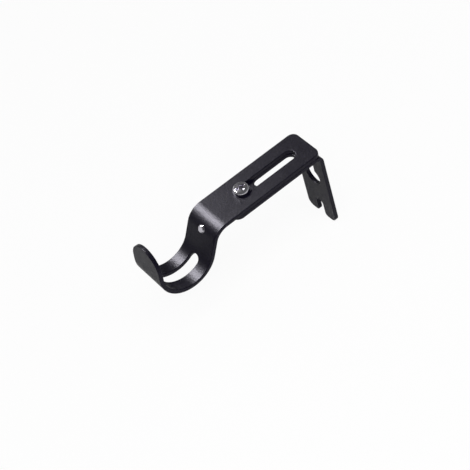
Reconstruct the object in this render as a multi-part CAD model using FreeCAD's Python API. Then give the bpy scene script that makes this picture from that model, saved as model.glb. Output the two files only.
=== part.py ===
"""Adjustable curtain pole bracket: two bent steel strips held together by one clamp screw.

Millimetres. The origin is on the wall, at the back of the wall plate, midway between its
keyhole and its fork slot. +X points out of the wall, +Y runs along the pole and +Z is up.
"""
import FreeCAD, Part
import math
import os

Vector = FreeCAD.Vector
UP = Vector(0, 0, 1)
OUT = Vector(1, 0, 0)
ALONG = Vector(0, 1, 0)

# Strip steel that both bent pieces are cut from
strip_width = 20.0
strip_thick = 2.1          # 2 mm sheet with its powder coat
edge_break = 0.25          # taken off every cut edge, so that the coat holds on it
edge_turn = 25.0           # degrees: faces that turn less where they meet run on smoothly
slot_width = 6.0           # of the slots that the clamp screw runs in
wall_slot_width = 4.4      # of the keyhole's narrow end and of the fork slot
sliding_gap = 0.03         # between faces that slide on each other

# Wall bracket: a plate on the wall and a strip standing out from it
plate_drop = 46.9          # from the strip's top face down to the plate's lower end
strip_end_margin = 11.6    # from the clamp screw's axis to the strip's free end
wall_bend_radius = 4.0     # outside of the bend
strip_corner_radius = 4.0
plate_corner_radius = 3.5
fork_mouth_radius = 2.0    # where the open slot leaves the plate's lower end
keyhole_entry_drop = 19.8  # centre of the round entry hole below the strip's top face
keyhole_entry_radius = 5.0
keyhole_rise = 8.9         # from the entry hole's centre up to the centre of the narrow end
fork_depth = 7.5           # from the plate's lower end up to the open slot's round end
strip_bridge = 5.0         # steel left at either end of the strip's slot, to the bend and to the screw hole

# Clamp screw, M4 with a pan head, and its nut
screw_reach = 39.7         # from the wall to the screw's axis
screw_radius = 2.0
pan_head_radius = 4.0
pan_head_height = 2.9
pan_rim_height = 1.0       # of the head's upright rim
pan_shoulder_radius = 3.1  # where the rim's curve meets the low dome
pan_shoulder_height = 2.5
pan_shoulder_bulge = 0.24  # how far that curve stands out from its chord
pan_dome_bulge = 0.1       # how far the dome stands out from its chord
pan_foot_break = 0.3       # bevel round the head's underside
clamp_screw_length = 10.0  # under the head
screw_hole_clearance = 0.3
thread_clearance = 0.05    # radial, between a screw and its threaded hole
nut_sides = 6
nut_across_flats = 7.0
nut_height = 3.2
nut_face_radius = 3.4      # of the round, flat face left by the nut's chamfer
nut_chamfer_angle = 30.0
recess_span = 4.4          # cross recess, tip to tip
recess_wing = 0.95
recess_depth = 2.0
recess_taper = 0.62        # half span lost over the recess's depth

# Hook arm: a slotted strip that ends in a cradle for the pole
arm_wall_gap = 0.55        # wall to the arm's end when it is pushed right in
arm_travel = 28.9          # how far the arm pulls out along its slot
arm_corner_radius = 3.5
slot_end_clearance = 0.3   # screw to the slot's end when the arm is at its stop
shoulder_radius = 9.9      # outside of the bend
shoulder_turn = 63.5
web_length = 7.9
pole_diameter = 25.4
pole_clearance = 0.55      # radial, pole to cradle
cradle_turn = 160.4
lip_straight = 3.2         # from the cradle to where the lip's round tip begins
cradle_slot_width = 6.4
cradle_slot_from_angle = 32.5  # into the cradle, of the slot's first end centre
cradle_slot_to_angle = 110.5   # into the cradle, of its last end centre

# Thumb screw through the web, which grips the pole
thumb_screw_rise = 1.3     # from the foot of the shoulder bend back up to the screw's axis
thumb_screw_tip = 0.5      # how far its tip stands out of the web
thumb_thread_length = 6.5
thumb_collar_radius = 3.2
thumb_collar_height = 1.2
thumb_wing_room = 7.68     # from the nut out to the wing's end, along X
thumb_wing_width = 11.0
thumb_wing_height = 7.5
thumb_wing_thick = 2.0
thumb_wing_waist = 1.5     # from the collar to where the wing starts to widen
thumb_wing_belly = 4.5     # from the collar to the wing's widest place
thumb_wing_flare = 0.45    # how far its sides stand out from their chords
thumb_wing_bevel = 0.5     # round the wing's rim
thumb_turn = 150.0         # how far the screw is turned, from the wing lying in the arm's middle plane
tip_chamfer = 0.4
overlap = 0.1              # how far two solids of one piece reach into each other

# Values that follow from the ones above
half_width = strip_width / 2
cradle_radius = pole_diameter / 2 + pole_clearance
keyhole_foot_drop = keyhole_entry_drop + keyhole_entry_radius
fork_slot_drop = plate_drop - fork_depth
fork_head_drop = fork_slot_drop - wall_slot_width / 2
strip_top = (keyhole_foot_drop + fork_head_drop) / 2
plate_bottom = strip_top - plate_drop
arm_bottom = strip_top + sliding_gap
arm_top = arm_bottom + strip_thick
THROUGH = 4 * strip_thick  # long enough to cut through one strip
screw_hole_radius = screw_radius + screw_hole_clearance
strip_reach = screw_reach + strip_end_margin
strip_slot_start = wall_bend_radius + strip_bridge + slot_width / 2
strip_slot_end = screw_reach - screw_hole_radius - strip_bridge - slot_width / 2
nut_corner_radius = nut_across_flats / (2 * math.cos(math.pi / nut_sides))
thumb_length_behind = thumb_thread_length - thumb_screw_tip + thumb_collar_height + thumb_wing_height


def turned(x, z, angle, length):
    """The point that lies a length away from (x, z) at an angle in degrees."""
    a = math.radians(angle)
    return x + length * math.cos(a), z + length * math.sin(a)


def shoulder_reach():
    """From the wall to the start of the shoulder bend, so that the thumb screw's wing clears the nut."""
    turn = math.radians(shoulder_turn)
    screw_from_bend = shoulder_radius * math.sin(turn) - thumb_screw_rise * math.cos(turn)
    wing_from_bend = screw_from_bend - thumb_length_behind * math.sin(turn)
    return screw_reach + nut_corner_radius + thumb_wing_room - wing_from_bend


def follow(start, heading, steps):
    """Walks along the outer face: ("line", length) or ("turn", degrees, face radius).

    Returns each stretch as (kind, start point, start heading, end point, end heading, centre, radius).
    """
    x, z = start
    stretches = []
    for step in steps:
        if step[0] == "line":
            end = turned(x, z, heading, step[1])
            stretches.append(("line", (x, z), heading, end, heading, None, 0.0))
            x, z = end
            continue
        turn, radius = step[1], step[2]
        side = 90.0 if turn > 0 else -90.0
        centre = turned(x, z, heading + side, radius)
        end = turned(centre[0], centre[1], heading + turn - side, radius)
        stretches.append(("turn", (x, z), heading, end, heading + turn, centre, radius))
        x, z = end
        heading += turn
    return stretches


def offset_point(point, heading, depth):
    """The point a depth to the right of the walk, where the strip's material lies."""
    return turned(point[0], point[1], heading - 90.0, depth)


def face_edge(stretch, depth):
    """One edge of the strip's section, on the outer face (depth 0) or its back (depth = thickness)."""
    kind, start, heading_0, end, heading_1, centre, radius = stretch
    a = offset_point(start, heading_0, depth)
    b = offset_point(end, heading_1, depth)
    first, last = Vector(a[0], 0, a[1]), Vector(b[0], 0, b[1])
    if kind == "line":
        return Part.LineSegment(first, last).toShape()
    side = 90.0 if heading_1 > heading_0 else -90.0
    reach = radius + depth if heading_1 > heading_0 else radius - depth
    middle = turned(centre[0], centre[1], (heading_0 + heading_1) / 2 - side, reach)
    return Part.Arc(first, Vector(middle[0], 0, middle[1]), last).toShape()


def bent_strip(stretches):
    """A strip of sheet bent along the walk, as wide as the strip steel."""
    outer = [face_edge(s, 0.0) for s in stretches]
    inner = [face_edge(s, strip_thick) for s in stretches]
    ends = [Part.LineSegment(inner[0].Vertexes[0].Point, outer[0].Vertexes[0].Point).toShape(),
            Part.LineSegment(outer[-1].Vertexes[-1].Point, inner[-1].Vertexes[-1].Point).toShape()]
    wire = Part.Wire(Part.__sortEdges__(outer + inner + ends))
    section = Part.Face(wire)
    section.translate(ALONG * -half_width)
    return section.extrude(ALONG * strip_width)


def slot_between(first, last, radius, direction, length):
    """A round-ended slot cutter between two end centres, cut along a direction."""
    half = direction * (length / 2)
    run = last - first
    across = direction.cross(run)
    across.normalize()
    corners = [first + across * radius, last + across * radius]
    corners += [last - across * radius, first - across * radius]
    floor = Part.Face(Part.makePolygon([c - half for c in corners] + [corners[0] - half]))
    cutter = floor.extrude(direction * length)
    for centre in (first, last):
        cutter = cutter.fuse(Part.makeCylinder(radius, length, centre - half, direction))
    return cutter.removeSplitter()


def round_corners(shape, direction, radius, chosen):
    """Rounds the corners whose edges run through the sheet along a direction, where a test holds."""
    corners = []
    for edge in shape.Edges:
        if not isinstance(edge.Curve, Part.Line):
            continue
        along = edge.tangentAt(edge.FirstParameter).dot(direction)
        if abs(abs(along) - 1) < 1e-6 and chosen(edge.CenterOfMass):
            corners.append(edge)
    return shape.makeFillet(radius, corners)


def same(a, b):
    """Whether two lengths are the same size."""
    return abs(a - b) < 1e-6


def break_edges(shape):
    """Takes a narrow bevel off every sharp edge between a strip's faces."""
    return shape.makeChamfer(edge_break, [e for e in shape.Edges if is_sharp(shape, e)])


def is_sharp(shape, edge):
    """Whether the two faces that meet at an edge turn a corner there."""
    faces = shape.ancestorsOfType(edge, Part.Face)
    if len(faces) != 2:
        return False
    middle = edge.valueAt((edge.FirstParameter + edge.LastParameter) / 2)
    normals = []
    for face in faces:
        u, v = face.Surface.parameter(middle)
        normal = face.Surface.normal(u, v)
        normals.append(normal)
    return abs(normals[0].dot(normals[1])) < math.cos(math.radians(edge_turn))


def make_wall_bracket():
    """The L: wall plate with a keyhole and an open fork, and the strip that carries the arm."""
    plate_run = plate_drop - wall_bend_radius
    strip_run = strip_reach - wall_bend_radius
    walk = follow((0.0, plate_bottom), 90.0,
                  [("line", plate_run), ("turn", -90.0, wall_bend_radius), ("line", strip_run)])
    body = round_corners(bent_strip(walk), UP, strip_corner_radius, lambda p: same(p.x, strip_reach))
    body = round_corners(body, OUT, plate_corner_radius, lambda p: same(p.z, plate_bottom))
    entry = Vector(strip_thick / 2, 0, strip_top - keyhole_entry_drop)
    hang = entry + UP * keyhole_rise
    body = body.cut(slot_between(entry, hang, wall_slot_width / 2, OUT, THROUGH))
    body = body.cut(Part.makeCylinder(keyhole_entry_radius, THROUGH, entry - OUT * (THROUGH / 2), OUT))
    fork = Vector(strip_thick / 2, 0, strip_top - fork_slot_drop)
    body = body.cut(slot_between(fork, fork - UP * plate_drop, wall_slot_width / 2, OUT, THROUGH))
    body = round_corners(body, OUT, fork_mouth_radius,
                         lambda p: same(p.z, plate_bottom) and same(abs(p.y), wall_slot_width / 2))
    middle = strip_top - strip_thick / 2
    body = body.cut(slot_between(Vector(strip_slot_start, 0, middle), Vector(strip_slot_end, 0, middle),
                                 slot_width / 2, UP, THROUGH))
    hole_foot = Vector(screw_reach, 0, middle - THROUGH / 2)
    body = body.cut(Part.makeCylinder(screw_hole_radius, THROUGH, hole_foot, UP))
    return break_edges(body)


def arm_walk():
    """The hook arm's outer face from its wall end over the shoulder, web and cradle to the lip's tip."""
    return follow((arm_wall_gap, arm_top), 0.0,
                  [("line", shoulder_reach() - arm_wall_gap), ("turn", -shoulder_turn, shoulder_radius),
                   ("line", web_length), ("turn", cradle_turn, cradle_radius),
                   ("line", lip_straight + half_width)])


def make_hook_arm():
    """The sliding strip: long slot, shoulder, web with the thumb screw's hole, cradle and lip."""
    walk = arm_walk()
    body = round_corners(bent_strip(walk), UP, arm_corner_radius, lambda p: same(p.x, arm_wall_gap))
    middle = arm_top - strip_thick / 2
    outer_stop = screw_reach - screw_radius - slot_end_clearance + slot_width / 2
    inner_stop = screw_reach + screw_radius + slot_end_clearance - slot_width / 2
    body = body.cut(slot_between(Vector(outer_stop - arm_travel, 0, middle), Vector(inner_stop, 0, middle),
                                 slot_width / 2, UP, THROUGH))
    body = body.cut(lip_tip_cutter(walk[4]))
    body = body.cut(cradle_slot_cutter(walk[3]))
    origin, axis = thumb_screw_place()
    hole_foot = origin - axis * (THROUGH / 2)
    tapped = Part.makeCylinder(screw_radius + thread_clearance, THROUGH, hole_foot, axis)
    return break_edges(body).cut(tapped)


def lip_tip_cutter(lip):
    """What is cut from the lip's square end to leave a half-round tip as wide as the strip."""
    start, heading = lip[1], lip[2]
    centre = turned(start[0], start[1], heading, lip_straight)
    up_lip = Vector(math.cos(math.radians(heading)), 0, math.sin(math.radians(heading)))
    out_lip = up_lip.cross(ALONG)
    middle = Vector(centre[0], 0, centre[1])
    corners = [middle - ALONG * strip_width, middle + ALONG * strip_width]
    corners += [corners[1] + up_lip * strip_width, corners[0] + up_lip * strip_width]
    sheet = Part.Face(Part.makePolygon([c - out_lip * THROUGH for c in corners + corners[:1]]))
    block = sheet.extrude(out_lip * (2 * THROUGH))
    disc = Part.makeCylinder(half_width, 2 * THROUGH, middle - out_lip * THROUGH, out_lip)
    return block.cut(disc)


def cradle_slot_cutter(cradle):
    """The curved slot along the cradle: a ring between its two round, radial ends."""
    heading, centre = cradle[2], cradle[5]
    hub = Vector(centre[0], 0, centre[1])
    inner, outer = cradle_radius - strip_thick, cradle_radius + 2 * strip_thick
    first = heading - 90.0 + cradle_slot_from_angle
    half = cradle_slot_width / 2
    corners = [Vector(inner, -half, 0), Vector(outer, -half, 0), Vector(outer, half, 0), Vector(inner, half, 0)]
    section = Part.Face(Part.makePolygon(corners + corners[:1]))
    section.rotate(Vector(0, 0, 0), ALONG, -first)
    sweep = cradle_slot_to_angle - cradle_slot_from_angle
    ring = section.revolve(Vector(0, 0, 0), ALONG * -1, sweep)
    for angle in (first, first + sweep):
        radial = Vector(math.cos(math.radians(angle)), 0, math.sin(math.radians(angle)))
        ring = ring.fuse(Part.makeCylinder(half, outer - inner, radial * inner, radial))
    ring.translate(hub)
    return ring


def thumb_screw_place():
    """Where the thumb screw's axis leaves the web's outer face, and the way its tip points."""
    web = arm_walk()[2]
    x, z = turned(web[1][0], web[1][1], web[2], -thumb_screw_rise)
    a = math.radians(web[2] + 90.0)
    return Vector(x, 0, z), Vector(math.cos(a), 0, math.sin(a))


def revolved(points):
    """A solid of revolution about Z from (radius, height) points, straight from one to the next."""
    corners = [Vector(r, 0, z) for r, z in points]
    return Part.Face(Part.makePolygon(corners + corners[:1])).revolve(Vector(0, 0, 0), UP, 360)


def bowed(first, last, bulge):
    """An arc in the XZ plane whose middle stands out from its chord, to the left of its run."""
    middle = (first + last) * 0.5
    run = last - first
    run.normalize()
    return Part.Arc(first, middle + Vector(-run.z, 0, run.x) * bulge, last).toShape()


def pan_head():
    """A pan head standing on Z = 0: an upright rim, a rounded shoulder and a low dome."""
    foot = Vector(pan_head_radius - pan_foot_break, 0, 0)
    rim_low = Vector(pan_head_radius, 0, pan_foot_break)
    rim_high = Vector(pan_head_radius, 0, pan_rim_height)
    shoulder = Vector(pan_shoulder_radius, 0, pan_shoulder_height)
    crown = Vector(0, 0, pan_head_height)
    edges = [Part.LineSegment(Vector(0, 0, 0), foot).toShape(), Part.LineSegment(foot, rim_low).toShape(),
             Part.LineSegment(rim_low, rim_high).toShape(), bowed(rim_high, shoulder, -pan_shoulder_bulge),
             bowed(shoulder, crown, -pan_dome_bulge), Part.LineSegment(crown, Vector(0, 0, 0)).toShape()]
    return Part.Face(Part.Wire(edges)).revolve(Vector(0, 0, 0), UP, 360)


def cross_recess():
    """The cross recess for a driver: two tapering wings at right angles."""
    half_top, half_floor = recess_span / 2, recess_span / 2 - recess_taper
    top, floor = pan_head_height + recess_depth, pan_head_height - recess_depth
    side = -recess_wing / 2
    outline = [Vector(-half_top, side, top), Vector(half_top, side, top),
               Vector(half_top, side, pan_head_height), Vector(half_floor, side, floor),
               Vector(-half_floor, side, floor), Vector(-half_top, side, pan_head_height)]
    wing = Part.Face(Part.makePolygon(outline + outline[:1])).extrude(ALONG * recess_wing)
    second = wing.copy()
    second.rotate(Vector(0, 0, 0), UP, 90)
    heart = Part.makeCylinder(recess_wing, top - floor, Vector(0, 0, floor), UP)
    return wing.fuse([second, heart])


def make_clamp_screw():
    """The pan-head screw that clamps the arm to the wall bracket."""
    head = pan_head().cut(cross_recess())
    end = screw_radius - tip_chamfer
    shank = revolved([(0, overlap), (screw_radius, overlap),
                      (screw_radius, tip_chamfer - clamp_screw_length),
                      (end, -clamp_screw_length), (0, -clamp_screw_length)])
    screw = head.fuse(shank).removeSplitter()
    screw.translate(Vector(screw_reach, 0, arm_top + sliding_gap))
    return screw


def make_clamp_nut():
    """The hexagon nut under the wall bracket's strip, chamfered on both faces."""
    corner = nut_corner_radius
    points = [Vector(corner, 0, 0)]
    for side in range(1, nut_sides):
        angle = 2 * math.pi * side / nut_sides
        points.append(Vector(corner * math.cos(angle), corner * math.sin(angle), 0))
    hexagon = Part.Face(Part.makePolygon(points + points[:1])).extrude(UP * nut_height)
    drop = (corner - nut_face_radius) * math.tan(math.radians(nut_chamfer_angle))
    barrel = revolved([(0, 0), (nut_face_radius, 0), (corner, drop), (corner, nut_height - drop),
                       (nut_face_radius, nut_height), (0, nut_height)])
    bore = screw_radius + thread_clearance
    nut = hexagon.common(barrel)
    nut = nut.cut(Part.makeCylinder(bore, nut_height, Vector(0, 0, 0), UP))
    nut.translate(Vector(screw_reach, 0, strip_top - strip_thick - nut_height))
    return nut


def make_pole_screw():
    """The spade-head thumb screw, drawn along Z with its tip at the top, then set in the web."""
    behind = thumb_thread_length - thumb_screw_tip
    end = screw_radius - tip_chamfer
    foot = -behind - thumb_collar_height
    body = revolved([(0, foot), (thumb_collar_radius, foot), (thumb_collar_radius, -behind),
                     (screw_radius, -behind), (screw_radius, thumb_screw_tip - tip_chamfer),
                     (end, thumb_screw_tip), (0, thumb_screw_tip)])
    body = body.fuse(thumb_wing(foot)).removeSplitter()
    origin, axis = thumb_screw_place()
    seat = FreeCAD.Placement(origin, FreeCAD.Rotation(UP, axis))
    body.Placement = seat.multiply(FreeCAD.Placement(Vector(0, 0, 0), FreeCAD.Rotation(UP, thumb_turn)))
    return body


def thumb_wing(top):
    """The flat wing that the fingers turn: an oval plate that narrows into the collar."""
    belly, waist, low = top - thumb_wing_belly, top - thumb_wing_waist, top - thumb_wing_height
    wide, neck = thumb_wing_width / 2, thumb_collar_radius - thumb_wing_bevel
    root = top + overlap
    right = [Vector(neck, 0, root), Vector(neck, 0, waist), Vector(wide, 0, belly)]
    left = [Vector(-p.x, 0, p.z) for p in right]
    tip = Part.Arc(right[2], Vector(0, 0, low), left[2]).toShape()
    edges = [Part.LineSegment(right[0], right[1]).toShape(), bowed(right[1], right[2], thumb_wing_flare), tip,
             bowed(left[2], left[1], thumb_wing_flare), Part.LineSegment(left[1], left[0]).toShape(),
             Part.LineSegment(left[0], right[0]).toShape()]
    face = Part.Face(Part.Wire(edges))
    face.translate(ALONG * (-thumb_wing_thick / 2))
    wing = face.extrude(ALONG * thumb_wing_thick)
    rim = [e for e in wing.Edges if same(e.BoundBox.YLength, 0) and e.BoundBox.ZMin < waist - overlap]
    return wing.makeChamfer(thumb_wing_bevel, rim)


PIECES = {
    "wall_bracket": make_wall_bracket,
    "hook_arm": make_hook_arm,
    "clamp_screw": make_clamp_screw,
    "clamp_nut": make_clamp_nut,
    "pole_screw": make_pole_screw,
}


def main():
    """Builds every piece and writes it to its own file."""
    os.makedirs("parts", exist_ok=True)
    for name, make in PIECES.items():
        shape = make()
        print(name, "valid", shape.isValid(), "solids", len(shape.Solids), "volume", round(shape.Volume, 1),
              "faces", len(shape.Faces), shape.BoundBox)
        shape.exportStep(f"parts/{name}.step")


main()
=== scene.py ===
# %% [markdown]
# # An adjustable curtain pole bracket
#
# The real thing is made of two steel strips with a black powder coat. One is an L that is fixed to the
# wall. The other slides out along it and ends in a hook for the pole. A bright screw and nut clamp the two
# together, and a thumb screw through the hook's web grips the pole.
#
# Everything is worked out in the frame of the construction: the wall is the plane X = 0, the pole lies
# along Y and Z is up. Sizes are written in millimetres and turned into metres when a mesh is made.

# %% Load the frame
import math
import bmesh
import bpy
import numpy as np
from mathutils import Matrix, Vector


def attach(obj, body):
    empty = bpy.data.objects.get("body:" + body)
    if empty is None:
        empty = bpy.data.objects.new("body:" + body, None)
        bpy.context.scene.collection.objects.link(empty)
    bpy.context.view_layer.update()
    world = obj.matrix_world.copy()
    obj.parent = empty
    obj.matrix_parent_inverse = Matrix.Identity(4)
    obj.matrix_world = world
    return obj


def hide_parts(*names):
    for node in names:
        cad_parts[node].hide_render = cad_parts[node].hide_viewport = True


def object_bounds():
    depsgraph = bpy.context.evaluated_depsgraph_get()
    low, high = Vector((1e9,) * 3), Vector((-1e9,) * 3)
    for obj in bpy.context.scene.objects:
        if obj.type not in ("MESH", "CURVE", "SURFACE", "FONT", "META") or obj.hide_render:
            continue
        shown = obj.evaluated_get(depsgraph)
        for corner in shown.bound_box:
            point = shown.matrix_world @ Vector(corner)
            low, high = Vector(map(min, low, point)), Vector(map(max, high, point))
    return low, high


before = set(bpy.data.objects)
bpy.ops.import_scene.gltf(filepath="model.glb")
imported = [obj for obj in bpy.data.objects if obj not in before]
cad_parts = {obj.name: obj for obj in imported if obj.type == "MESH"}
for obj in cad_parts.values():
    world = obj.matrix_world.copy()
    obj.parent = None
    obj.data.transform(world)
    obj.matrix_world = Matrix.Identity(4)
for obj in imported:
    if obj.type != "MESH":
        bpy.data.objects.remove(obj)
cad_box = [list(corner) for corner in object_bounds()]
MM = 0.001

# %% [markdown]
# ## The camera
#
# The photograph was taken from above and from the hook's side with a fairly long lens. A camera is three
# directions and a place, so it could be turned by angles or aimed at a target. Here the three directions
# are written as the columns of its matrix, because the bracket stood tilted and the picture is therefore
# rolled, which aiming alone doesn't give.

# %% The camera of the photograph
camera_place = (0.2515, 0.4460, 0.55963)
camera_right = (-0.7658, 0.6072, -0.2119)
camera_up = (-0.5816, -0.5133, 0.6310)
camera_back = (0.2744, 0.6065, 0.7463)

camera_data = bpy.data.cameras.new("camera")
camera_data.sensor_width = 36.0
camera_data.lens = 122.55
camera = bpy.data.objects.new("camera", camera_data)
turn = np.eye(4)
turn[:3, :3] = np.array([camera_right, camera_up, camera_back]).T
turn[:3, 3] = camera_place
camera.matrix_world = Matrix(turn.tolist())
bpy.context.scene.collection.objects.link(camera)
bpy.context.scene.camera = camera
print("camera at", camera_place, "lens", camera_data.lens)

# %% [markdown]
# ## The walk along a strip
#
# A bent strip could be drawn as a solid and cut. It is easier to follow how it is really made: a flat
# blank is punched and then bent. So every point of a strip has three numbers. The first says how far along
# the strip it lies, the second how far across, and the third how deep under the outer face. The walk turns
# them into a place.

# %% The strips' section
strip_width, strip_thick, edge_round = 20.0, 2.1, 0.3
half_width = strip_width / 2
tiny = 1e-6
print("strip", strip_width, "by", strip_thick, "mm, with edges rounded to", edge_round)


# %% Straights and bends
def make_walk(start, heading, steps):
    """The stretches of a walk as columns of an array: start length, x, z, heading and curvature.

    A step is (length, degrees). A bend's curvature is its angle over its length, and a straight's is 0.
    """
    rows = []
    along, x, z, h = 0.0, start[0], start[1], math.radians(heading)
    for length, degrees in steps:
        bend = math.radians(degrees) / length
        rows.append((along, x, z, h, bend))
        if bend:
            x += (math.sin(h + bend * length) - math.sin(h)) / bend
            z -= (math.cos(h + bend * length) - math.cos(h)) / bend
        else:
            x += length * math.cos(h)
            z += length * math.sin(h)
        h += bend * length
        along += length
    return {"rows": np.array(rows).T, "length": along}


def place_on(walk, s, y, depth):
    """Points of a strip: walk s along the outer face, go y across, then go in by the depth.

    On a bend the heading is h0 + bend * u, and x and z are the integrals of its cosine and sine.
    """
    s, y, depth = np.broadcast_arrays(s, y, depth)
    starts, x0, z0, h0, bend = walk["rows"]
    k = np.clip(np.searchsorted(starts, s, side="right") - 1, 0, len(starts) - 1)
    u, h, b = s - starts[k], h0[k], bend[k]
    curved = b != 0
    safe = np.where(curved, b, 1.0)
    x = x0[k] + np.where(curved, (np.sin(h + b * u) - np.sin(h)) / safe, u * np.cos(h))
    z = z0[k] + np.where(curved, (np.cos(h) - np.cos(h + b * u)) / safe, u * np.sin(h))
    h = h + b * u
    return np.stack([x + depth * np.sin(h), y, z - depth * np.cos(h)], axis=-1)


quarter = make_walk((0.0, 0.0), 0.0, [(10 * math.pi / 2, 90.0)])
print("a quarter turn of radius 10 ends at", np.round(place_on(quarter, quarter["length"], 0.0, 0.0), 3))

# %% [markdown]
# ## The two walks
#
# The hook arm runs level from the wall, turns down over the shoulder, follows the short web and goes round
# the cradle into the lip. The wall bracket climbs up the wall and turns into a level strip under the arm.
# A drawn curve could follow both too, but a list of straights and bends is how a bending press is set.

# %% The arm's and the wall bracket's walk
arm_wall_gap, arm_top, shoulder_reach = 0.55, 33.13, 56.29
shoulder_radius, shoulder_turn, web_length = 9.9, 63.5, 7.9
cradle_radius, cradle_turn, lip_straight = 13.25, 160.4, 3.2
arm_walk = make_walk((arm_wall_gap, arm_top), 0.0, [
    (shoulder_reach - arm_wall_gap, 0.0),
    (shoulder_radius * math.radians(shoulder_turn), -shoulder_turn),
    (web_length, 0.0),
    (cradle_radius * math.radians(cradle_turn), cradle_turn),
    (lip_straight + half_width, 0.0)])

plate_bottom, strip_top, wall_bend_radius, strip_reach = -15.9, 31.0, 4.0, 51.3
wall_walk = make_walk((0.0, plate_bottom), 90.0, [
    (strip_top - plate_bottom - wall_bend_radius, 0.0),
    (wall_bend_radius * math.pi / 2, -90.0),
    (strip_reach - wall_bend_radius, 0.0)])
print("the outer faces are", round(arm_walk["length"], 2), "and", round(wall_walk["length"], 2), "mm long")

# %% [markdown]
# ## The punched outlines
#
# Both blanks are the same on either side of their middle line, and so are all their holes. Half a blank is
# then enough: for each place along it there is an inner edge, which is a hole's or the middle line, and an
# outer edge. An outline is a chain of straight parts and arcs. Each part can be asked for its points with
# the edge drawn back into the steel by a given amount, and that is what rounds the edges later.


# %% Parts of an outline
arc_step = math.radians(9)


class Arc:
    """A round part: its radius grows (a hole) or shrinks (a corner) as the edge is drawn back.

    A point is the centre plus the radius times (cos a, sin a), with a running from first to last.
    """

    def __init__(self, s, y, radius, grow, first, last):
        self.s, self.y, self.radius, self.grow = s, y, radius, grow
        self.first = first if callable(first) else lambda back: math.radians(first)
        self.last = last if callable(last) else lambda back: math.radians(last)

    def at(self, share, back):
        """The point at a share of the sweep: centre plus (radius plus grow times back) times (cos, sin)."""
        angle = self.first(back) + share * (self.last(back) - self.first(back))
        reach = self.radius + self.grow * back
        return self.s + reach * np.cos(angle), self.y + reach * np.sin(angle)

    def share_of(self, s):
        """The share at which the arc reaches a length, from the arc cosine of its way from the centre."""
        first, last = self.first(edge_round), self.last(edge_round)
        angle = np.arccos(np.clip((s - self.s) / (self.radius + self.grow * edge_round), -1, 1))
        if max(first, last) > math.pi + tiny:
            angle = 2 * math.pi - angle
        return np.clip((angle - first) / (last - first), 0, 1)

    def own_stops(self):
        """Lengths along the strip at which this arc needs a point, one every few degrees."""
        sweep = abs(self.last(0) - self.first(0))
        count = max(4, int(round(sweep / arc_step)))
        return self.at(np.linspace(0, 1, count + 1), edge_round)[0]


class Side:
    """A straight part along the strip, at a distance y that changes by grow as the edge is drawn back."""

    def __init__(self, start, end, y, grow):
        self.start = start if callable(start) else lambda back: start
        self.end, self.y, self.grow = end, y, grow

    def at(self, share, back):
        """The point at a share of the way from start to end, at y plus grow times back."""
        first = self.start(back)
        return first + share * (self.end - first), np.full(np.shape(share), self.y + self.grow * back)

    def share_of(self, s):
        """The share of the way from start to end at which a length lies."""
        first = self.start(edge_round)
        return np.clip((s - first) / (self.end - first), 0, 1)

    def own_stops(self):
        """A straight part needs points only at its two ends."""
        return np.array([self.start(edge_round), self.end])


print("a round hole of 5 mm needs stops at", np.round(Arc(0, 0, 5, 1, 180, 0).own_stops(), 2))


# %% Slots and holes
def slot_parts(first, last, radius):
    """Half of a round-ended slot between two end centres: a quarter circle, a side and a quarter circle."""
    return [Arc(first, 0, radius, 1, 180, 90), Side(first, last, radius, 1), Arc(last, 0, radius, 1, 90, 0)]


def hole_parts(centre, radius):
    """Half of a round hole: half a circle about its centre."""
    return [Arc(centre, 0, radius, 1, 180, 0)]


print("half a slot is", len(slot_parts(0, 10, 3)), "parts, half a hole", len(hole_parts(0, 3)))

# %% [markdown]
# ## The arm's blank
#
# The arm has small round corners at the wall and a full round at the lip. A long slot lets it slide under
# the clamp screw, and a second slot runs along the cradle. The long slot's ends could be measured on their
# own. Here they follow from the screw's place and the travel, so that the screw meets each end at a limit.

# %% The arm's outline and slots
arm_corner_radius, slot_width = 3.5, 6.0
screw_reach, screw_radius, slot_end_clearance, arm_travel = 39.7, 2.0, 0.3, 28.9
slot_far = screw_reach - screw_radius - slot_end_clearance + slot_width / 2 - arm_travel - arm_wall_gap
slot_near = screw_reach + screw_radius + slot_end_clearance - slot_width / 2 - arm_wall_gap
shoulder_start = shoulder_reach - arm_wall_gap
web_start = shoulder_start + shoulder_radius * math.radians(shoulder_turn)
cradle_start = web_start + web_length
lip_centre = arm_walk["length"] - half_width
thumb_screw_rise, tapped_radius = 1.3, 2.05
cradle_slot_from, cradle_slot_to, cradle_slot_width = 32.5, 110.5, 6.4

arm_outline = [Arc(arm_corner_radius, half_width - arm_corner_radius, arm_corner_radius, -1, 180, 90),
               Side(arm_corner_radius, lip_centre, half_width, -1),
               Arc(lip_centre, 0, half_width, -1, 90, 0)]
arm_holes = [slot_parts(slot_far, slot_near, slot_width / 2),
             hole_parts(web_start - thumb_screw_rise, tapped_radius),
             slot_parts(cradle_start + cradle_radius * math.radians(cradle_slot_from),
                        cradle_start + cradle_radius * math.radians(cradle_slot_to), cradle_slot_width / 2)]
print("arm slot's end centres at", round(slot_far, 2), "and", round(slot_near, 2), "mm along the blank")

# %% [markdown]
# ## The tapped hole
#
# The hole for the thumb screw lies where the shoulder runs into the web, so part of its rim is on the
# bend. It is drilled after bending, straight through along the screw. Punched walls stay square to the
# bent face, so here each stop of the walk is shifted a little with depth, until the wall is straight
# again.


# %% Walls that stay square and walls that are drilled
drilled_to, square_from = math.radians(22), math.radians(50)


def straight_down(s, depth):
    """No shift: a punched wall stays square to the bent face."""
    return s


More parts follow.
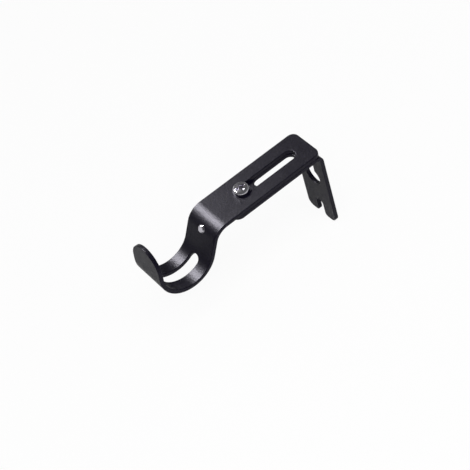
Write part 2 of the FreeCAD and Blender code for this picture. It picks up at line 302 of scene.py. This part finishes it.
def drilled(s, depth):
    """Where a stop lies under the face if the wall is drilled straight through the shoulder's foot.

    On the bend the distance from the web, radius times the sine of the angle, stays the same at every depth.
    Beyond the hole the shift fades out before the bend starts.
    """
    up_the_bend = (web_start - s) / shoulder_radius
    angle = np.clip(up_the_bend, 0, drilled_to)
    below = np.arcsin(np.sin(angle) * shoulder_radius / (shoulder_radius - depth))
    fade = np.clip((square_from - up_the_bend) / (square_from - drilled_to), 0, 1)
    return s - (below - angle) * shoulder_radius * fade


rim = web_start - thumb_screw_rise - tapped_radius
shift = rim - float(drilled(rim, strip_thick))
print("at the inner face the rim lies", round(shift, 3), "mm further up the bend")

# %% [markdown]
# ## The wall bracket's blank
#
# The plate is hung up by two openings: a keyhole, with a wide entry and a narrow end that holds it, and
# below it a fork that is open at the bottom. The corner between the keyhole's wide and narrow parts
# depends on how far the edge is drawn back, so its angle is a function of that, and all layers of the rim
# meet there.

# %% The wall bracket's outline and slots
plate_corner_radius, strip_corner_radius, fork_mouth_radius, wall_slot_width = 3.5, 4.0, 2.0, 4.4
fork_head, keyhole_entry, keyhole_hang, keyhole_entry_radius = 7.5, 27.1, 36.0, 5.0
strip_slot_from, strip_slot_to, screw_hole_radius = 12.0, 29.4, 2.3
strip_offset = wall_walk["rows"][0][2] - wall_bend_radius
wall_slot = wall_slot_width / 2


def keyhole_corner(back):
    """The angle at which the entry hole's rim meets the slot's side: the sine is slot over rim."""
    return math.asin((wall_slot + back) / (keyhole_entry_radius + back))


def keyhole_side_start(back):
    """Where along the strip that corner lies."""
    return keyhole_entry + (keyhole_entry_radius + back) * math.cos(keyhole_corner(back))


strip_corner = wall_walk["length"] - strip_corner_radius
wall_outline = [Arc(plate_corner_radius, half_width - plate_corner_radius, plate_corner_radius, -1, 180, 90),
                Side(plate_corner_radius, strip_corner, half_width, -1),
                Arc(strip_corner, half_width - strip_corner_radius, strip_corner_radius, -1, 90, 0)]
wall_holes = [[Arc(fork_mouth_radius, wall_slot + fork_mouth_radius, fork_mouth_radius, -1, 180, 270),
               Side(fork_mouth_radius, fork_head, wall_slot, 1), Arc(fork_head, 0, wall_slot, 1, 90, 0)],
              [Arc(keyhole_entry, 0, keyhole_entry_radius, 1, lambda back: math.pi, keyhole_corner),
               Side(keyhole_side_start, keyhole_hang, wall_slot, 1),
               Arc(keyhole_hang, 0, wall_slot, 1, 90, 0)],
              slot_parts(strip_offset + strip_slot_from, strip_offset + strip_slot_to, slot_width / 2),
              hole_parts(strip_offset + screw_reach, screw_hole_radius)]
print("wall strip starts", round(strip_offset, 3), "mm before its own X")

# %% [markdown]
# ## From blank to bent strip
#
# A face of the strip is a grid: stops along it, and at each stop a few points from the inner edge to the
# outer edge. The wall of a hole or of the outline is another grid: the outline carried through the
# thickness, with the edge drawn back along a quarter circle near each face. Both grids share their border
# points, so merging doubles closes the shell. Half a strip is made, then its mirror image, and the normals
# are recalculated because a mirrored half is inside out.


# %% Tracing an outline
middle_snap = 0.01


def trace(parts, stops):
    """(part, shares) for the stops that a chain of parts covers, each stop taken once."""
    chain, last = [], -np.inf
    for part in parts:
        low, high = np.min(part.own_stops()), np.max(part.own_stops())
        inside = stops[(stops >= low - tiny) & (stops <= high + tiny) & (stops > last + tiny)]
        if len(inside):
            chain.append((part, part.share_of(inside)))
            last = inside[-1]
    return chain


def traced_points(chain, back):
    """The points of a traced chain with the edge drawn back: rows of (along, across).

    Points that all but touch the middle line are set on it, so that they meet their mirror images.
    """
    found = np.concatenate([np.stack(part.at(shares, back), axis=-1) for part, shares in chain])
    found[np.abs(found[:, 1]) < middle_snap, 1] = 0.0
    return found


def edge_profile(rounds=5):
    """How far the edge is drawn back at each depth: a quarter circle at either face."""
    a = np.linspace(0, math.pi / 2, rounds)
    back = edge_round * (1 - np.sin(a))
    depth = edge_round * (1 - np.cos(a))
    return np.concatenate([back, back[::-1]]), np.concatenate([depth, strip_thick - depth[::-1]])


print("a rim has", len(edge_profile()[0]), "layers, at depths", np.round(edge_profile()[1], 2))


# %% Grids of a strip
bend_step = math.radians(4)


def strip_grids(walk, outline, holes, shift=straight_down, across=7):
    """Every grid of half a strip, as arrays of points.

    A face's point is inner + share * (outer - inner) across, and a rim's is its outline at the layer's depth.
    """
    starts = walk["rows"][0]
    bends = walk["rows"][4]
    ends = np.append(starts[1:], walk["length"])
    stops = [part.own_stops() for chain in [outline] + holes for part in chain]
    for a, b, bend in zip(starts, ends, bends):
        count = 2 + int(abs(bend) * (b - a) / bend_step)
        stops.append(np.linspace(a, b, count))
    stops = np.unique(np.round(np.concatenate(stops), 6))
    stops = stops[(stops >= edge_round - tiny) & (stops <= walk["length"] - edge_round + tiny)]
    outer_chain = trace(outline, stops)
    hole_chains = [trace(chain, stops) for chain in holes]
    outer = traced_points(outer_chain, edge_round)
    inner = np.zeros(len(stops))
    for chain in hole_chains:
        points = traced_points(chain, edge_round)
        inner[np.searchsorted(stops, points[:, 0] - 10 * tiny)] = points[:, 1]
    share = np.linspace(0, 1, across)
    y = inner[:, None] + (outer[:, 1] - inner)[:, None] * share
    grids = [place_on(walk, shift(stops[:, None], depth), y, depth) for depth in (0.0, strip_thick)]
    back, depth = edge_profile()
    for chain in [outer_chain] + hole_chains:
        layers = np.stack([traced_points(chain, b) for b in back], axis=1)
        grids.append(place_on(walk, shift(layers[..., 0], depth), layers[..., 1], depth))
    for end, column, sign in ((0.0, 0, 1), (walk["length"], -1, -1)):
        if outer[column, 1] - inner[column] > tiny:
            s = np.broadcast_to(end + sign * back, (across, len(back)))
            grids.append(place_on(walk, s, np.broadcast_to(y[column][:, None], s.shape), depth))
    return grids


arm_grids = strip_grids(arm_walk, arm_outline, arm_holes, drilled)
wall_grids = strip_grids(wall_walk, wall_outline, wall_holes)
print("grids of half a strip: arm", len(arm_grids), "wall bracket", len(wall_grids))


# %% Closing the shell
def grid_quads(rows, columns, first):
    """Corner numbers of a grid's quads.

    The point in a row and a column has the number first + row * columns + column.
    """
    at = first + np.arange(rows * columns).reshape(rows, columns)
    return np.stack([at[:-1, :-1], at[1:, :-1], at[1:, 1:], at[:-1, 1:]], axis=-1).reshape(-1, 4)


def make_object(name, grids, body, mirrored=False, merge=2e-6):
    """One closed mesh from grids of points in millimetres, riding on a body of the frame."""
    points, quads, count = [], [], 0
    for grid in grids:
        for flip in (1, -1) if mirrored else (1,):
            points.append(grid.reshape(-1, 3) * np.array([1, flip, 1]) * MM)
            quads.append(grid_quads(grid.shape[0], grid.shape[1], count))
            count += grid.shape[0] * grid.shape[1]
    mesh = bpy.data.meshes.new(name)
    mesh.from_pydata(np.concatenate(points).tolist(), [], np.concatenate(quads).tolist())
    shell = bmesh.new()
    shell.from_mesh(mesh)
    bmesh.ops.remove_doubles(shell, verts=shell.verts, dist=merge)
    bmesh.ops.dissolve_degenerate(shell, edges=shell.edges, dist=merge / 2)
    bmesh.ops.recalc_face_normals(shell, faces=shell.faces)
    open_edges = sum(1 for edge in shell.edges if len(edge.link_faces) != 2)
    shell.to_mesh(mesh)
    shell.free()
    mesh.shade_smooth()
    piece = bpy.data.objects.new(name, mesh)
    bpy.context.scene.collection.objects.link(piece)
    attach(piece, body)
    print(name, "faces", len(mesh.polygons), "open edges", open_edges)
    return piece


def weigh_normals(piece):
    """Large faces decide the normals at their borders, so that flat steel looks flat up to its edge."""
    weigh = piece.modifiers.new("flat faces stay flat", "WEIGHTED_NORMAL")
    weigh.mode = "FACE_AREA"
    weigh.weight = 90


print("a grid of 2 by 3 points has the quads", grid_quads(2, 3, 0).tolist())

# %% The two strips
hook_steel = make_object("hook_arm_steel", arm_grids, "hook_side", True)
wall_steel = make_object("wall_bracket_steel", wall_grids, "wall_side", True)
for piece, node in ((hook_steel, "hook_arm"), (wall_steel, "wall_bracket")):
    weigh_normals(piece)
    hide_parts(node)

# %% [markdown]
# ## Screws and nut
#
# Turned parts are profiles carried round an axis. Where the profile also depends on the angle, the same
# grid gives a thread, a hexagon or a cross recess, so no solid has to be cut. The real thread is an M4,
# with a pitch of 0.7 mm and flanks at 60 degrees.

# %% Turned parts
pitch, thread_depth, rod_radius, rod_chamfer = 0.7, 0.4, 2.0, 0.4
root_fold, flank_fold, rows_a_turn = 0.78, 0.6, 12


def ring(columns):
    """Angles once round, the first one repeated at the end, as a row."""
    return np.linspace(0, 2 * math.pi, columns + 1)[None, :]


def around(radius, height, angle):
    """Points for every row and angle: x and y are the radius times its cosine and sine, z is the height."""
    radius, height, angle = np.broadcast_arrays(radius, height, angle)
    return np.stack([radius * np.cos(angle), radius * np.sin(angle), height], axis=-1)


def ridge(height, angle):
    """A thread's section, 0 in the root and 1 on the crest, climbing one pitch a turn.

    The distance from the crest is folded to 0..1, and the flank is the line between root and crest.
    """
    fold = np.abs(2 * np.mod(height / pitch - angle / (2 * math.pi), 1) - 1)
    return np.clip((root_fold - fold) / flank_fold, 0, 1)


def threaded_rod(low, high, columns=60):
    """A threaded rod from low to high, its lower end chamfered to the root of the thread.

    The radius is the smaller of the thread's and of a cone that starts at the lower end.
    """
    angle = ring(columns)
    rows = int((high - low) / pitch * rows_a_turn)
    height = np.linspace(low, high, rows)[:, None]
    limit = np.clip((height - low) / rod_chamfer, 0, 1) * rod_chamfer + rod_radius - rod_chamfer
    body = np.minimum(rod_radius - thread_depth * (1 - ridge(height, angle)), limit)
    layers = [around(0.0, low, angle), around(body[:1], low, angle), around(body, height, angle),
              around(body[-1:], high, angle), around(0.0, high, angle)]
    return np.concatenate(layers)


print("a rod of 10 mm is a grid of", threaded_rod(-10, 0).shape[:2], "points")


# %% Profiles and placing
def bulge(first, last, rise, count):
    """Rows of (radius, height) along an arc whose middle stands out from its chord, to the right of its run.

    With chord c and rise r the arc's radius is (c^2 / 4 + r^2) / (2 r).
    """
    first, last = np.array(first, float), np.array(last, float)
    run = last - first
    length = np.linalg.norm(run)
    side = np.array([run[1], -run[0]]) / length
    share = np.linspace(0, 1, count)
    if not rise:
        return first + share[:, None] * run
    reach = (length ** 2 / 4 + rise ** 2) / (2 * rise)
    out = np.sqrt(reach ** 2 - ((share - 0.5) * length) ** 2) - (reach - rise)
    return first + share[:, None] * run + out[:, None] * side


def moved(grid, offset):
    """The same grid somewhere else."""
    return grid + np.array(offset, float)


def turned_object(name, grids, body, node, sharp=35):
    """A shell of turned grids that keeps its edges over a given angle sharp."""
    piece = make_object(name, grids, body)
    piece.data.set_sharp_from_angle(angle=math.radians(sharp))
    weigh_normals(piece)
    piece.modifiers[0].keep_sharp = True
    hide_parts(node)
    return piece


print("an arc 2 mm long that rises 0.2 mm:", np.round(bulge((0, 0), (2, 0), 0.2, 3), 2).tolist())

# %% [markdown]
# ## The clamp screw
#
# A pan head with a cross recess, on an M4 thread that goes down through both strips. The recess could be
# cut with a boolean. Here it is a depth, worked out for every point of the dome and taken off its height,
# which leaves an even mesh. Its walls fall within less than a tenth of a millimetre, so they look upright.

# %% Clamp screw
pan_radius, pan_height, pan_foot_break, pan_rim_height = 4.0, 2.9, 0.3, 1.0
shoulder_at, pan_shoulder_rise, pan_dome_rise = (3.1, 2.58), 0.22, 0.02
recess_half, recess_wing, recess_deep, recess_end, recess_wall = 2.35, 1.1, 1.9, 1.1, 0.07
pan_foot_rise, clamp_length, overlap, sliding_gap = 0.06, 10.0, 0.1, 0.03


def recess(radius, angle):
    """How deep the cross recess is at a point of the head.

    Each wing's floor falls from the wing's end towards the middle, and its sides fall steeply from the edge.
    """
    x, y = np.abs(radius * np.cos(angle)), np.abs(radius * np.sin(angle))
    across, along = np.minimum(x, y), np.maximum(x, y)
    floor = np.clip((recess_half - along) / recess_end, 0, 1) * recess_deep
    sides = np.clip((recess_wing / 2 - across) / recess_wall, 0, 1)
    heart = np.clip((recess_wing - radius) / recess_wall, 0, 1) * recess_deep
    return np.maximum(floor * sides, heart)


def pan_head(columns=240):
    """The head: underside, rim and shoulder as a profile, then the dome with the recess taken off it."""
    angle = ring(columns)
    foot = (pan_radius - pan_foot_break, 0.0)
    rim = bulge(foot, (pan_radius, pan_foot_break), pan_foot_rise, 6)
    shoulder = bulge((pan_radius, pan_rim_height), shoulder_at, pan_shoulder_rise, 14)
    dome = bulge(shoulder_at, (0.0, pan_height), pan_dome_rise, 90)
    profile = np.concatenate([[(0.0, 0.0), foot], rim, shoulder, dome])
    radius, height = profile[:, :1], profile[:, 1:]
    lid = np.arange(len(profile))[:, None] >= len(profile) - len(dome)
    return around(radius, height - np.where(lid, recess(radius, angle), 0.0), angle)


clamp_screw_at = (screw_reach, 0, arm_top + sliding_gap)
clamp_screw_shells = (pan_head(), threaded_rod(-clamp_length, overlap))
clamp_screw_grids = [moved(shell, clamp_screw_at) for shell in clamp_screw_shells]
clamp_screw = turned_object("clamp_screw_metal", clamp_screw_grids, "clamp_screw", "clamp_screw")

# %% [markdown]
# ## The clamp nut
#
# An M4 hexagon nut pulls the lower strip up against the arm. A hexagon is a circle whose radius depends on
# the angle, so the nut is carried round its axis too. Its corners are turned off at 30 degrees above and
# below, as on a real nut, by letting the top fall with the distance from the axis.

# %% Clamp nut
nut_flats, nut_height, nut_face, nut_slope = 7.0, 3.2, 3.4, math.tan(math.radians(30))
nut_mouth_radius, nut_mouth_height, nut_root_radius, nut_thread_depth = 2.25, 0.35, 2.05, 0.3
nut_seat = strip_top - strip_thick - nut_height


def hexagon(angle):
    """The radius of a hexagon with a corner at angle 0.

    It is half the width across flats, over the cosine of the way to the middle of a flat.
    """
    sixth = math.radians(60)
    return nut_flats / 2 / np.cos(np.mod(angle, sixth) - sixth / 2)


def nut_shell(columns=96, threads=40):
    """The nut: up its threaded hole, out over the top, down its six sides and back underneath.

    The hole's radius is the root's less the thread's ridge. Beyond the flat face the top falls by the slope
    times the way out, and the underside rises as much.
    """
    angle = ring(columns)
    side = hexagon(angle)
    rows = np.linspace(0, 1, 5)[:, None]
    cone = nut_face + rows * (side - nut_face)
    up = np.linspace(nut_mouth_height, nut_height - nut_mouth_height, threads)[:, None]
    bore = nut_root_radius - nut_thread_depth * ridge(up, angle)
    mouth = np.full_like(angle, nut_mouth_radius)
    top = nut_height - (cone - nut_face) * nut_slope
    layers = [around(mouth, 0.0, angle), around(bore, up, angle), around(mouth, nut_height, angle),
              around(cone, top, angle), around(cone[::-1], nut_height - top[::-1], angle),
              around(mouth, 0.0, angle)]
    return np.concatenate(layers)


clamp_nut = turned_object("clamp_nut_metal", [moved(nut_shell(), (screw_reach, 0, nut_seat))],
                          "wall_side", "clamp_nut", 25)

# %% [markdown]
# ## The thumb screw
#
# It goes through the web from behind and its tip presses on the pole. On the far side it ends in a collar
# and a flat wing for the fingers, which is stamped and has a round edge. A solid could be beveled for
# that. Here a half circle is carried along the wing's outline, which keeps the edge equally round all the
# way.

# %% The wing's outline
thumb_tip, thumb_thread, thumb_turn = 0.5, 6.5, 150.0
wing_half, wing_height, wing_thick, wing_neck, wing_waist, wing_belly = 5.5, 7.36, 2.0, 2.7, 0.5, 4.2
wing_edge, wing_root = 0.75, 0.1


def wing_outline(steps=24):
    """Half the wing's outline as rows of (width, height), and the outward direction at each row.

    It goes down the neck, swells along an S whose share is 3u^2 - 2u^3, and closes on a quarter ellipse.
    """
    u = np.linspace(0, 1, steps)
    neck = np.array([[wing_neck, wing_root]])
    swell = np.stack([wing_neck + (wing_half - wing_neck) * u ** 2 * (3 - 2 * u),
                      -wing_waist - (wing_belly - wing_waist) * u], axis=-1)
    v = u[1:] * math.pi / 2
    end = np.stack([wing_half * np.cos(v), -wing_belly - (wing_height - wing_belly) * np.sin(v)], axis=-1)
    outline = np.concatenate([neck, swell, end])
    run = np.gradient(outline, axis=0)
    run[0], run[-1] = (0, -1), (-1, 0)
    run = run / np.linalg.norm(run, axis=1, keepdims=True)
    return outline, np.stack([-run[:, 1], run[:, 0]], axis=-1)


print("the wing is", 2 * np.round(wing_outline()[0][:, 0].max(), 2), "mm wide and", wing_height, "mm long")


# %% Shells of the thumb screw
collar_radius, collar_height, collar_edge, collar_edge_rise = 3.2, 1.2, 0.25, 0.07
web_foot = place_on(arm_walk, web_start, 0.0, 0.0)


def wing_shell(top, rounds=9):
    """The wing's grids: a round edge carried along the outline, two flat faces and the end in the collar.

    Round the edge, an angle runs from -90 to 90 degrees. The outline is drawn back by edge * (1 - cos), and
    the point lies at edge * sin beyond half the flat part of the thickness.
    """
    outline, outward = wing_outline()
    a = np.linspace(-math.pi / 2, math.pi / 2, rounds)
    flat = wing_thick / 2 - wing_edge
    level = wing_edge * np.sin(a) + flat * np.sign(a)
    drawn = outline[:, None] - outward[:, None] * (wing_edge * (1 - np.cos(a)))[:, None]
    drawn[-1, :, 0] = 0.0
    edge = np.stack([drawn[..., 0], np.broadcast_to(level, drawn.shape[:2]), drawn[..., 1]], axis=-1)
    lower, upper = [np.stack([edge[:, k] * (0, 1, 1), edge[:, k]], axis=1) for k in (0, -1)]
    foot = np.stack([edge[0] * (0, 1, 1), edge[0]], axis=1)
    one_side = [moved(grid, (0, 0, top)) for grid in (edge, lower, upper, foot)]
    return one_side + [grid * (-1, 1, 1) for grid in one_side]


def collar_shell(low, high, radius, columns=72):
    """A short round collar with rounded edges: a profile of two arcs carried round the axis."""
    inside = radius - collar_edge
    lower = bulge((inside, low), (radius, low + collar_edge), collar_edge_rise, 5)
    upper = bulge((radius, high - collar_edge), (inside, high), collar_edge_rise, 5)
    profile = np.concatenate([[[0.0, low]], lower, upper, [[0.0, high]]])
    return around(profile[:, :1], profile[:, 1:], ring(columns))


def set_in_web(grid):
    """Turns a shell drawn along Z into the web's hole: about Z by its turn, then about Y by the shoulder's.

    Then it is moved to the web's foot and up the web by the screw's rise.
    """
    spin, lean = math.radians(thumb_turn), math.radians(shoulder_turn)
    x = grid[..., 0] * math.cos(spin) - grid[..., 1] * math.sin(spin)
    y = grid[..., 0] * math.sin(spin) + grid[..., 1] * math.cos(spin)
    z = grid[..., 2]
    leaned_x = x * math.cos(lean) + z * math.sin(lean)
    leaned_z = z * math.cos(lean) - x * math.sin(lean)
    up_the_web = np.array([-math.cos(lean), 0, math.sin(lean)]) * thumb_screw_rise
    return np.stack([leaned_x, y, leaned_z], axis=-1) + web_foot + up_the_web


def tipped_rod(low, high):
    """The threaded rod turned end for end, so that its chamfered end is the tip."""
    return threaded_rod(-high, -low) * np.array([1, -1, -1])


thread_foot = thumb_tip - thumb_thread
thumb_grids = [tipped_rod(thread_foot - overlap, thumb_tip),
               collar_shell(thread_foot - collar_height, thread_foot, collar_radius)]
thumb_grids += wing_shell(thread_foot - collar_height)
pole_screw = turned_object("pole_screw_metal", [set_in_web(grid) for grid in thumb_grids],
                           "pole_screw", "pole_screw", 40)

# %% [markdown]
# ## Materials as sums
#
# A material is a tree of nodes. Instead of wiring each one by hand, a wire is wrapped so that ordinary
# sums on it add the nodes. The finish is then a formula that can be read. A material, the floor and the
# world are all trees of nodes, so one small class serves them all.


# %% Wires and sums
class Wire:
    """The output of a node. Sums with numbers or other wires add Math nodes."""

    def __init__(self, board, socket):
        self.board, self.socket = board, socket

    def maths(self, operation, *values):
        """A Math node on this wire's board, fed with the values in their order."""
        return self.board.node("ShaderNodeMath", {"operation": operation}, dict(enumerate(values)))

    def __add__(self, other):
        return self.maths("ADD", self, other)

    def __sub__(self, other):
        return self.maths("SUBTRACT", self, other)

    def __rsub__(self, other):
        return self.maths("SUBTRACT", other, self)

    def __mul__(self, other):
        return self.maths("MULTIPLY", self, other)

    __radd__ = __add__
    __rmul__ = __mul__


class Board:
    """A tree of nodes and the ways to add to it."""

    def __init__(self, tree):
        self.tree = tree

    def node(self, kind, settings, values, output=0):
        """Adds a node: its settings first, then a number or a wire for each named socket."""
        made = self.tree.nodes.new(kind)
        for key, value in settings.items():
            setattr(made, key, value)
        for key, value in values.items():
            self.feed(made.inputs[key], value)
        return Wire(self, made.outputs[output])

    def feed(self, socket, value):
        """Links a wire to a socket, or writes a number or colour on it."""
        if isinstance(value, Wire):
            self.tree.links.new(value.socket, socket)
        else:
            socket.default_value = value

    def grain(self, size_mm, detail, roughness=0.5):
        """Noise on the surface's own point, whose patches are about size_mm across, from 0 to 1."""
        point = self.node("ShaderNodeTexCoord", {}, {}, "Object")
        return self.node("ShaderNodeTexNoise", {}, {"Vector": point, "Scale": 1 / (size_mm * MM),
                                                    "Detail": detail, "Roughness": roughness})

    def range(self, wire, low, high, out_low, out_high):
        """A wire's span from low to high, stretched to another span and held at its ends."""
        spans = {0: wire, 1: low, 2: high, 3: out_low, 4: out_high}
        return self.node("ShaderNodeMapRange", {"clamp": True}, spans)

    def mix(self, factor, first, second):
        """A colour between two colours."""
        return self.node("ShaderNodeMix", {"data_type": "RGBA"}, {0: factor, 6: first, 7: second}, 2)

    def bump(self, height, distance_mm):
        """A normal that a height field tilts, where 1 is as high as the distance."""
        values = {"Height": height, "Strength": 1.0, "Distance": distance_mm * MM}
        return self.node("ShaderNodeBump", {}, values)


print("a board can", [name for name in vars(Board) if not name.startswith("_")])


# %% A finish
class Finish(Board):
    """A material with one Principled shader, whose constants are set on its own sockets."""

    def __init__(self, name, **constants):
        self.material = bpy.data.materials.new(name)
        self.material.use_nodes = True
        super().__init__(self.material.node_tree)
        self.shader = self.tree.nodes["Principled BSDF"]
        self.use(**constants)

    def use(self, **values):
        """Feeds the shader's own sockets."""
        for socket, value in values.items():
            self.feed(self.shader.inputs[socket.replace("_", " ")], value)

    def dress(self, pieces):
        """Gives the material to pieces as their only one."""
        for piece in pieces:
            piece.data.materials.clear()
            piece.data.materials.append(self.material)
        print(self.material.name, "of", len(self.tree.nodes), "nodes on", [piece.name for piece in pieces])


print("a finish can also", [name for name in vars(Finish) if not name.startswith("_")])

# %% [markdown]
# ## The black powder coat
#
# Powder that is melted on in an oven leaves a satin skin with a fine, even grain, a little like an
# orange's. A picture of it could be wrapped round, but noise in the frame of the part needs no seams. One
# noise gives the grain, and a slower one makes the gloss wander slightly, as it does where the powder lies
# thicker.

# %% Black coat
coat = Finish("black_powder_coat", Metallic=0.0, IOR=1.5, Specular_IOR_Level=0.18,
              Specular_Tint=(0.92, 0.89, 1.0, 1))
peel = coat.grain(0.75, 4.0, 0.6)
slow = coat.grain(7.0, 3.0)
darkest, lightest = (0.0018, 0.0014, 0.0046, 1), (0.0060, 0.0050, 0.0132, 1)
coat.use(Base_Color=coat.mix(coat.range(peel, 0.38, 0.62, 0.0, 1.0), darkest, lightest),
         Roughness=coat.range(slow * 0.6 + peel * 0.4, 0.3, 0.7, 0.33, 0.40),
         Normal=coat.bump(peel, 0.085))
coat.dress([hook_steel, wall_steel])

# %% [markdown]
# ## Bright zinc
#
# The screws and the nut are plated with zinc, which is bright but never quite even. It could be a plain
# metal. A cloudy noise in its colour and gloss, and dents of a few hundredths of a millimetre, break its
# mirror images up in the way that makes small plated parts sparkle.

# %% Zinc
zinc = Finish("zinc_plating", Metallic=1.0)
cloud = zinc.grain(1.2, 3.0)
zinc.use(Base_Color=zinc.mix(cloud, (0.64, 0.625, 0.68, 1), (0.82, 0.80, 0.86, 1)),
         Roughness=zinc.range(cloud, 0.3, 0.7, 0.06, 0.13),
         Normal=zinc.bump(zinc.grain(0.6, 2.0), 0.03))
zinc.dress([clamp_screw, clamp_nut, pole_screw])

# %% [markdown]
# ## The floor
#
# The photograph's ground is white. A floor that is only lit turns grey, and more light would also bleach
# the bracket. So the floor is partly an emitter of white, for the rays that come from the camera or from a
# reflection, and partly an ordinary pale surface, which keeps a soft shadow.

# %% A plain sheet under the bracket
floor_mesh = bpy.data.meshes.new("floor")
floor_half, floor_gap = 2.0, 0.0002
floor_level = cad_box[0][2] - floor_gap
corners = np.array([[-1, -1], [1, -1], [1, 1], [-1, 1]]) * floor_half
floor_mesh.from_pydata(np.column_stack([corners, np.full(4, floor_level)]).tolist(), [], [(0, 1, 2, 3)])
floor = bpy.data.objects.new("floor", floor_mesh)
bpy.context.scene.collection.objects.link(floor)
print("floor at", round(floor_level, 4))


# %% The floor's finish
def rays(board):
    """Two wires: 1 for a ray from the camera, and 1 for a ray that was mirrored or went through glass."""
    kinds = ("Is Camera Ray", "Is Glossy Ray", "Is Transmission Ray")
    camera_ray, glossy_ray, glass_ray = [board.node("ShaderNodeLightPath", {}, {}, kind) for kind in kinds]
    return camera_ray, glossy_ray.maths("MAXIMUM", glossy_ray, glass_ray)


seen_glow, mirrored_glow, mirrored_loss = 0.92, 0.3, 0.75
ground = Finish("pale_floor", Base_Color=(0.9, 0.9, 0.9, 1), Roughness=0.8, Specular_IOR_Level=0.0)
from_camera, mirrored = rays(ground)
glow = ground.node("ShaderNodeEmission", {}, {"Color": (1, 1, 1, 1),
                                              "Strength": 1 - mirrored * mirrored_loss})
both = ground.node("ShaderNodeMixShader", {}, {0: from_camera * seen_glow + mirrored * mirrored_glow,
                                               1: Wire(ground, ground.shader.outputs[0]), 2: glow})
ground.tree.links.new(both.socket, ground.tree.nodes["Material Output"].inputs["Surface"])
ground.dress([floor])

# %% [markdown]
# ## The studio around it
#
# The black coat shows little of its own colour. What shapes it is what it mirrors. A picture of a studio
# could surround the bracket, but two numbers are enough: the world that is mirrored is brighter near the
# horizon and dim overhead. To the camera it is white, and the light that it casts on the bracket is weak
# and even.

# %% World
horizon_light, overhead_light, overhead_from, cast_light = 0.5, 0.12, 0.3, 0.3
world = bpy.data.worlds.new("studio")
bpy.context.scene.world = world
world.use_nodes = True
sky = Board(world.node_tree)
background = sky.tree.nodes["Background"]
background.inputs["Color"].default_value = (1, 1, 1, 1)
upward = sky.node("ShaderNodeSeparateXYZ", {}, {0: sky.node("ShaderNodeTexCoord", {}, {}, "Generated")}, "Z")
dusk = sky.range(upward, 0.0, overhead_from, horizon_light, overhead_light)
from_camera, mirrored = rays(sky)
strength = from_camera + mirrored * dusk + (1 - from_camera - mirrored) * cast_light
sky.feed(background.inputs["Strength"], strength)
print("world of", len(sky.tree.nodes), "nodes, white to the camera")

# %% [markdown]
# ## The lamps
#
# One softbox stands behind and above the bracket. It is what the coat and the zinc mirror, and it draws
# the bright bands on the shoulder and in the cradle. A larger and much weaker one on the camera's side
# only lights the colours, at a level at which white looks white. A lamp's visibility settings keep the two
# jobs apart.


# %% Softboxes
def add_softbox(name, target, direction, distance, width, height, radiance):
    """A rectangular lamp at a distance in a direction from its target, facing it, as bright as its radiance.

    A lamp's power is its radiance times its area times pi. Its directions are the columns of its matrix.
    """
    data = bpy.data.lights.new(name, "AREA")
    data.shape = "RECTANGLE"
    data.size, data.size_y = width, height
    data.energy = radiance * width * height * math.pi
    back = np.array(direction) / np.linalg.norm(direction)
    right = np.cross((0, -1, 0), back)
    right = right / np.linalg.norm(right)
    pose = np.eye(4)
    pose[:3, :3] = np.array([right, np.cross(back, right), back]).T
    pose[:3, 3] = np.array(target) + distance * back
    lamp = bpy.data.objects.new(name, data)
    lamp.matrix_world = Matrix(pose.tolist())
    bpy.context.scene.collection.objects.link(lamp)
    print(name, "of", round(data.energy, 2), "W at", np.round(pose[:3, 3], 3))
    return lamp


middle = (0.066, 0.0, 0.028)
band_light = add_softbox("softbox_behind", middle, (0.155, -0.6065, 0.78),
                         distance=0.7, width=0.32, height=0.24, radiance=64.0)
band_light.visible_diffuse = False
fill_light = add_softbox("softbox_camera_side", middle, (0.1, 0.5, 0.85),
                         distance=1.0, width=0.9, height=0.9, radiance=3.6)
fill_light.visible_glossy = False

bpy.context.scene.view_settings.view_transform = "Standard"

# %% [markdown]
# ## Sizes
#
# The box of the finished pieces must not be larger than the box of the construction, because the visual
# model only dresses the real sizes and never changes them.
